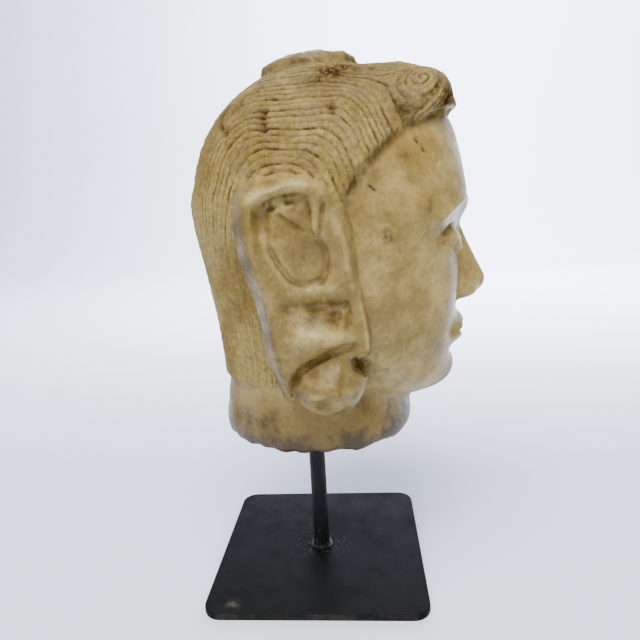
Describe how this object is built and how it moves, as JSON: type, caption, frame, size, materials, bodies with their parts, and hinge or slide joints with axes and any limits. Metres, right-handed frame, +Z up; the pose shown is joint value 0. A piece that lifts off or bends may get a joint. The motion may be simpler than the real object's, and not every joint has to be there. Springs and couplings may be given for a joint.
{
  "type": "tirthankara head sculpture",
  "caption": "Carved stone head of a calm figure with long slit ears and wavy combed hair, held above a square steel plate by an upright rod.",
  "frame": {"origin": "centre of the plate's underside, on the rod's axis", "axes": "+Z up along the rod, the face looks along -Y, the head's right side is at -X"},
  "size_m": [0.1594, 0.1663, 0.302],
  "materials": {
    "carved_stone": "aged yellow marble, polished on the face and rough in the hair, stands in for stone",
    "black_rod_paint": "satin black",
    "black_plate_paint": "satin black, dusty and worn at the edges"
  },
  "bodies": {
    "root": {"head": "carved_stone", "mounting_rod": "black_rod_paint", "base_plate": "black_plate_paint"}
  },
  "joints": []
}
